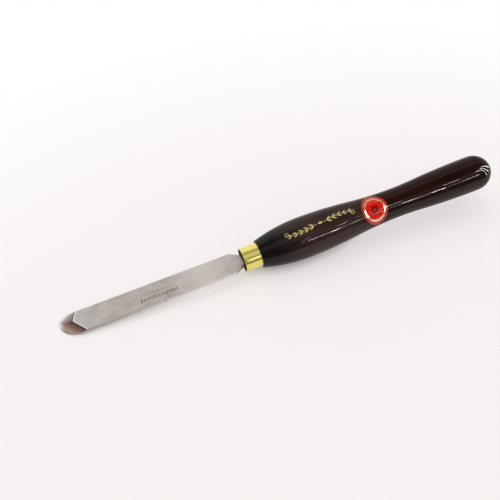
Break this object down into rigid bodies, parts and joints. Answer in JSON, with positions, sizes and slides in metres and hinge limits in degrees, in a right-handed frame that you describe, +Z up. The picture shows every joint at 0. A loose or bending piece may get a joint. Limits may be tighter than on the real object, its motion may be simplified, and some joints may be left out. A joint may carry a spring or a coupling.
{
  "type": "round nose scraper",
  "caption": "Woodturning scraper: flat steel blade ground to a round nose, brass ferrule and a turned, lacquered hardwood handle.",
  "frame": {"origin": "under the middle of the tool, on the bench that it lies on", "axes": "+X from the nose towards the butt, +Y across to the blade's far side, +Z up; the tool lies on its nose and the belly of its handle, so its own axis climbs by about 4.5 degrees towards the butt"},
  "size_m": [0.3708, 0.0336, 0.0442],
  "materials": {
    "blade_steel": "linished high speed steel, ground at the nose",
    "ferrule_brass": "polished brass tube",
    "handle_wood": "dark stained hardwood under gloss lacquer",
    "set_adhesive": "set epoxy, hidden but for its front face",
    "label_film": "printed film, red with a gold line"
  },
  "bodies": {
    "root": {"blade": "blade_steel", "ferrule": "ferrule_brass", "handle": "handle_wood", "tang_bond": "set_adhesive", "label": "label_film"}
  },
  "joints": []
}
